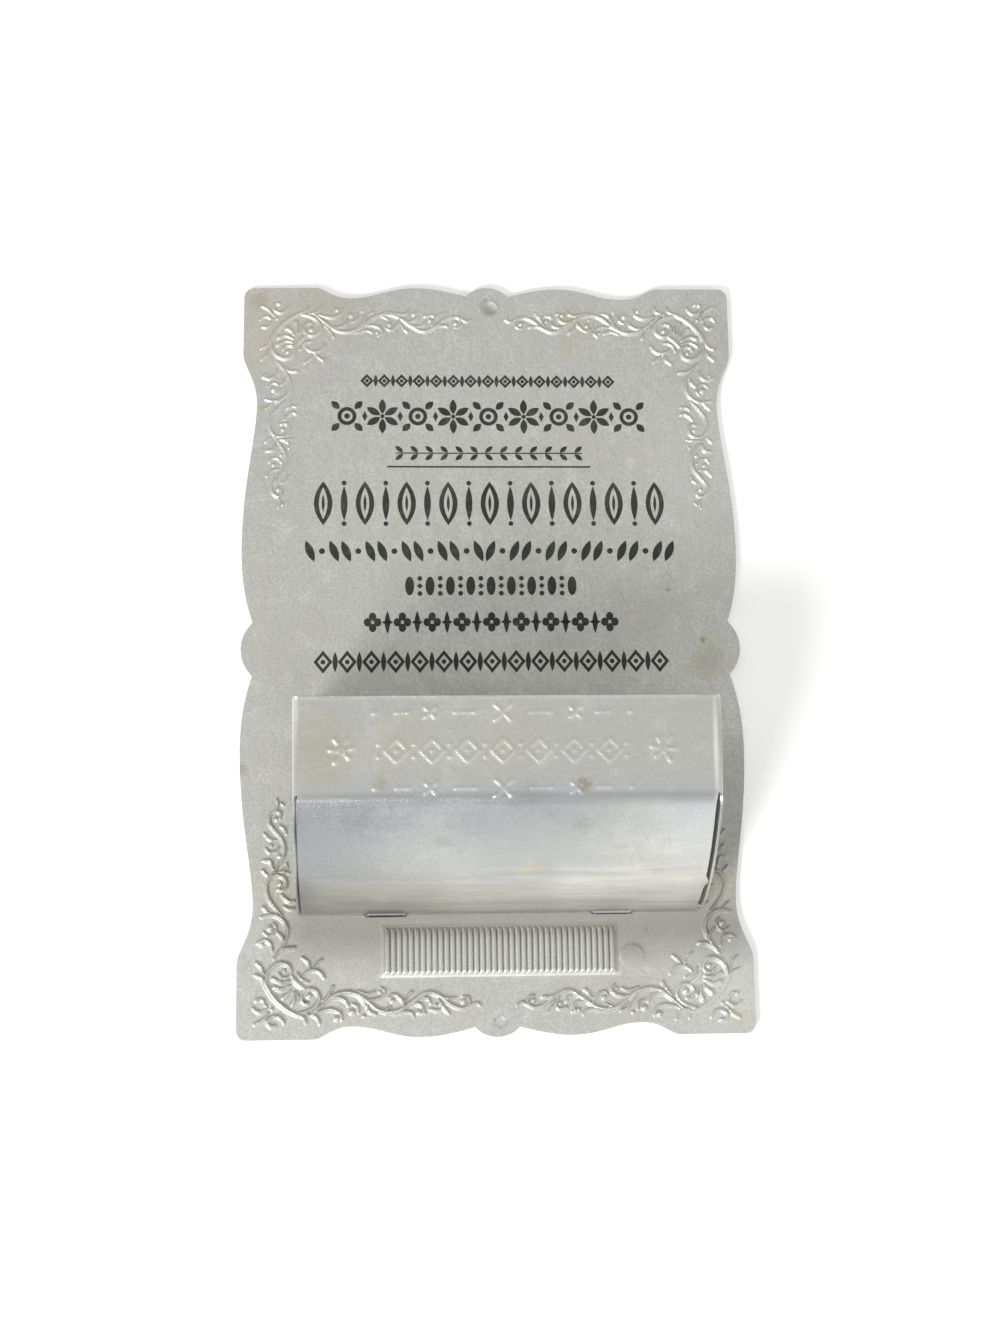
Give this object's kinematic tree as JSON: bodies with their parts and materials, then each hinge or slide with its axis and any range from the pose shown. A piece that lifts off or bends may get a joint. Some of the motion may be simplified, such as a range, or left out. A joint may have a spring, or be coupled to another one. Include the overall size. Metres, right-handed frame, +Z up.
{
  "type": "wall match holder",
  "caption": "Wall match holder of thin grey sheet: a scalloped embossed back plate with nail holes and a ribbed striker, and a folded pocket tabbed into it.",
  "frame": {"origin": "middle of the plate's width and height, on the wall plane that the backs of the folded tabs touch", "axes": "+Z up the wall, -Y out of the wall towards the user, +X to the right as seen from the front"},
  "size_m": [0.0834, 0.0273, 0.127],
  "materials": {
    "plate_sheet": "dull grey pressed sheet with a fine upright grain, blotchy oxidation and a few rust and yellow spots",
    "pocket_sheet": "the same sheet, smoother and a little brighter on the curved floor"
  },
  "bodies": {
    "root": {"back_plate": "plate_sheet", "match_pocket": "pocket_sheet"}
  },
  "joints": []
}
